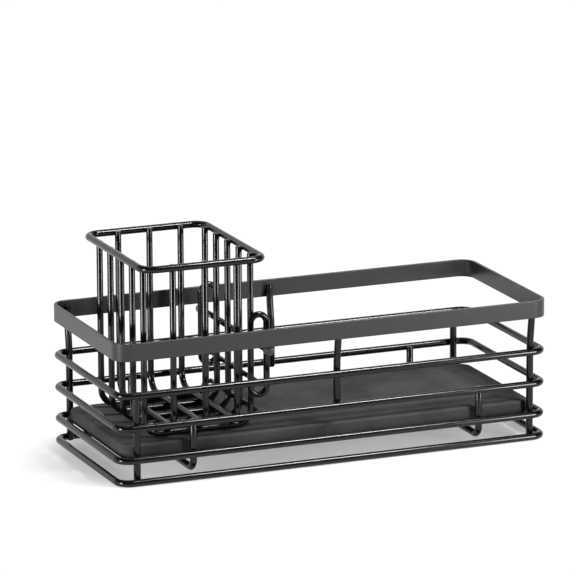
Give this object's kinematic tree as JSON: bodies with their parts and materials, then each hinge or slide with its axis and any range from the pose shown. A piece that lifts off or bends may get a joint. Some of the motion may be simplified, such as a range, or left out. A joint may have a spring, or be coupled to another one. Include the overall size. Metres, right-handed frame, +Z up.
{
  "type": "sink caddy",
  "caption": "Long wire sink caddy with a flat rim band, a lift-out drying tray and a square brush basket that slides up and down on a cross rail.",
  "frame": {"origin": "on the worktop, under the middle of the frame's box", "axes": "+Z up, +X along the caddy towards the open end, so the brush basket is at -X, +Y to the back"},
  "size_m": [0.325, 0.136, 0.1523],
  "materials": {
    "frame_wire": "satin black powder coat on steel wire",
    "rim_band": "matt black powder coat on flat steel bar",
    "rail": "satin black powder coat on steel rod",
    "basket_wire": "satin black powder coat on steel wire",
    "tray": "matt dark grey pressed mineral slab, softly mottled"
  },
  "bodies": {
    "frame": {"rim_band": "rim_band", "ring_upper": "frame_wire", "ring_middle": "frame_wire", "ring_lower": "frame_wire", "ring_base": "frame_wire", "post_front_right": "frame_wire", "post_back_left": "frame_wire", "post_front_left": "frame_wire", "post_back_right": "frame_wire", "strut_front": "frame_wire", "strut_back": "frame_wire", "cradle_left": "frame_wire", "cradle_right": "frame_wire", "drying_tray": "tray", "cross_rail": "rail", "rail_cap_front": "rail", "rail_cap_back": "rail"},
    "basket": {"basket_ring": "basket_wire", "basket_u_wire_1": "basket_wire", "basket_u_wire_2": "basket_wire", "basket_u_wire_3": "basket_wire", "basket_u_wire_4": "basket_wire", "basket_u_wire_5": "basket_wire", "basket_cross_wire_1": "basket_wire", "basket_cross_wire_2": "basket_wire", "basket_cross_wire_3": "basket_wire", "rail_loop_front": "basket_wire", "rail_loop_back": "basket_wire", "side_wire_lower": "basket_wire", "side_wire_upper": "basket_wire"}
  },
  "joints": [
    {"name": "basket_lift", "type": "slide", "parent": "frame", "child": "basket", "axis": [0, 0, 1], "range_m": [0, 0.022]}
  ]
}
